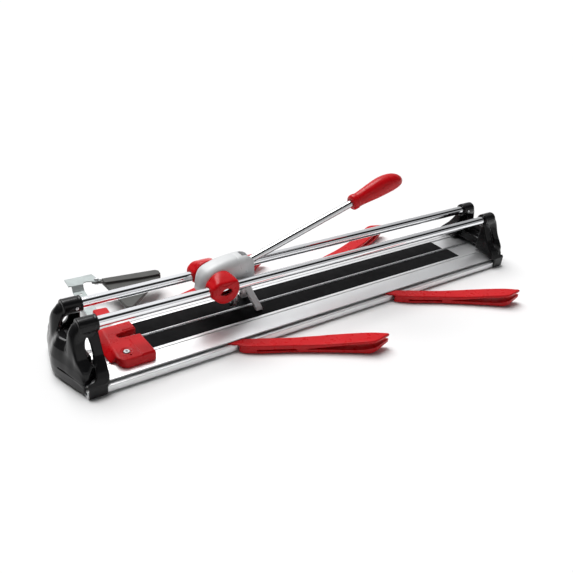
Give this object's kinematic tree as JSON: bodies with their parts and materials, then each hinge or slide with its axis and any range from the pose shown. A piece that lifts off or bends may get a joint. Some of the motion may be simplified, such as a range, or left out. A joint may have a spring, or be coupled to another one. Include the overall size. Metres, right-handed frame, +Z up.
{
  "type": "tile cutter",
  "caption": "Manual tile cutter with chrome guide rails, a sliding carriage with a scoring lever, a red fence, a set square and swing-out side supports.",
  "frame": {"origin": "middle of the base, on the floor the cutter stands on", "axes": "+X along the rails towards the free end of the cutter, +Y to the back, +Z up"},
  "size_m": [1.096, 0.4467, 0.2521],
  "materials": {
    "aluminium": "brushed and clear anodised, with fine lines along the extrusion",
    "chrome": "polished",
    "steel": "bright zinc plate or ground edge",
    "zinc": "galvanised sheet, slightly cloudy",
    "casting": "satin cast aluminium",
    "black": "glossy black moulding",
    "red": "semi-gloss red moulding",
    "pad_rubber": "matt",
    "charcoal": "matt charcoal moulding",
    "bush": "natural nylon",
    "carbide": "ground tungsten carbide"
  },
  "bodies": {
    "base": {"base_extrusion": "aluminium", "breaking_ridge": "steel", "pad_front": "pad_rubber", "pad_rear": "pad_rubber", "grip_strip_front": "pad_rubber", "grip_strip_centre": "pad_rubber", "grip_strip_rear": "pad_rubber", "head_left": "black", "head_right": "black", "head_screw_left_front": "steel", "head_screw_left_rear": "steel", "head_screw_right_front": "steel", "head_screw_right_rear": "steel", "rail_screw_left_front": "steel", "rail_screw_left_rear": "steel", "rail_screw_right_front": "steel", "rail_screw_right_rear": "steel", "rail_front": "chrome", "rail_rear": "chrome", "fence_block": "red", "fence_screw_front": "steel", "fence_screw_rear": "steel", "stop_guide": "red", "stop_guide_screw": "steel", "arm_pin_front_left": "steel", "arm_pin_front_right": "steel", "arm_pin_rear_left": "steel", "arm_pin_rear_right": "steel"},
    "lateral_stop": {"stop_bar": "zinc", "square_pivot": "steel"},
    "square": {"set_square": "charcoal"},
    "carriage": {"carriage_body": "casting", "carriage_bolt": "steel", "cap_front": "red", "cap_rear": "red", "bush_front_left": "bush", "bush_front_right": "bush", "bush_rear_left": "bush", "bush_rear_right": "bush", "lever_pin": "steel"},
    "lever": {"lever_hub": "casting", "lever_rod": "chrome", "lever_grip": "red", "holder_screw": "steel", "wheel_holder": "steel", "wheel_axle": "steel", "breaker_foot": "casting", "breaker_bolt": "steel"},
    "wheel": {"scoring_wheel": "carbide"},
    "arm_front_left": {"support_arm_front_left": "red"},
    "arm_front_right": {"support_arm_front_right": "red"},
    "arm_rear_left": {"support_arm_rear_left": "red"},
    "arm_rear_right": {"support_arm_rear_right": "red"}
  },
  "joints": [
    {"name": "carriage_slide", "type": "slide", "parent": "base", "child": "carriage", "axis": [1, 0, 0], "range_m": [-0.185, 0.6]},
    {"name": "lever_pivot", "type": "hinge", "parent": "carriage", "child": "lever", "pos_m": [-0.1905, 0, 0.119], "axis": [0, -1, 0], "range_deg": [0, 38]},
    {"name": "wheel_spin", "type": "hinge", "parent": "lever", "child": "wheel", "pos_m": [-0.1945, 0, 0.043], "axis": [0, 1, 0], "continuous": true},
    {"name": "stop_slide", "type": "slide", "parent": "base", "child": "lateral_stop", "axis": [0.0785, 0.9969, 0], "range_m": [-0.02, 0.04]},
    {"name": "square_swivel", "type": "hinge", "parent": "lateral_stop", "child": "square", "pos_m": [-0.38883, 0.19468, 0.039], "axis": [0, 0, 1], "range_deg": [-10, 45]},
    {"name": "swing_front_left", "type": "hinge", "parent": "base", "child": "arm_front_left", "pos_m": [-0.2505, -0.0765, 0.015], "axis": [0, 0, 1], "range_deg": [-64.5, 12]},
    {"name": "swing_front_right", "type": "hinge", "parent": "base", "child": "arm_front_right", "pos_m": [0.1445, -0.0765, 0.015], "axis": [0, 0, 1], "range_deg": [-62, 14.5]},
    {"name": "swing_rear_left", "type": "hinge", "parent": "base", "child": "arm_rear_left", "pos_m": [-0.2995, 0.0765, 0.015], "axis": [0, 0, 1], "range_deg": [-3, 74.5]},
    {"name": "swing_rear_right", "type": "hinge", "parent": "base", "child": "arm_rear_right", "pos_m": [0.0695, 0.0765, 0.015], "axis": [0, 0, 1], "range_deg": [-3, 74.5]}
  ]
}
